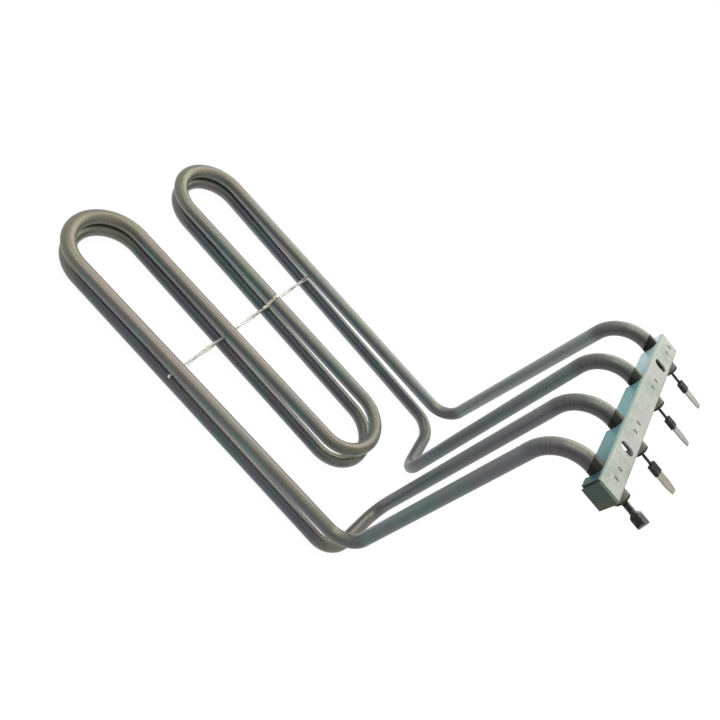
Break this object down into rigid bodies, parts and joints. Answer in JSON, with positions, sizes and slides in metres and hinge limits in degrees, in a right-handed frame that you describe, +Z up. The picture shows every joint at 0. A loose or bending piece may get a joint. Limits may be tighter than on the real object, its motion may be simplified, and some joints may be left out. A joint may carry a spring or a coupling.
{
  "type": "tubular heating element",
  "caption": "Double tubular heating element bent into a flat grid with risers, a slotted fixing bracket and push-on terminals.",
  "frame": {"origin": "centre of the object's bounding box, on the surface that the lower grid lies on", "axes": "+Z up along the risers, +Y along the legs towards the bracket and terminals, +X across the width"},
  "size_m": [0.138, 0.294, 0.176],
  "materials": {
    "sheath": "heat-tinted stainless sheath, satin",
    "powder": "compacted white oxide powder",
    "coil": "oxidised resistance alloy",
    "seal": "dark sealing bead",
    "pin": "dull drawn steel",
    "tab": "plated blade with a scorched shoulder",
    "bracket": "plated folded sheet, satin",
    "wire": "bright drawn wire"
  },
  "bodies": {
    "root": {"upper_sheath": "sheath", "upper_insulating_powder": "powder", "upper_heating_coil": "coil", "lower_sheath": "sheath", "lower_insulating_powder": "powder", "lower_heating_coil": "coil", "upper_left_seal": "seal", "upper_left_pin": "pin", "upper_left_tab": "tab", "upper_right_seal": "seal", "upper_right_pin": "pin", "upper_right_tab": "tab", "lower_left_seal": "seal", "lower_left_pin": "pin", "lower_left_tab": "tab", "lower_right_seal": "seal", "lower_right_pin": "pin", "lower_right_tab": "tab", "bracket": "bracket", "spacer_wire": "wire", "binding_wire": "wire"}
  },
  "joints": []
}
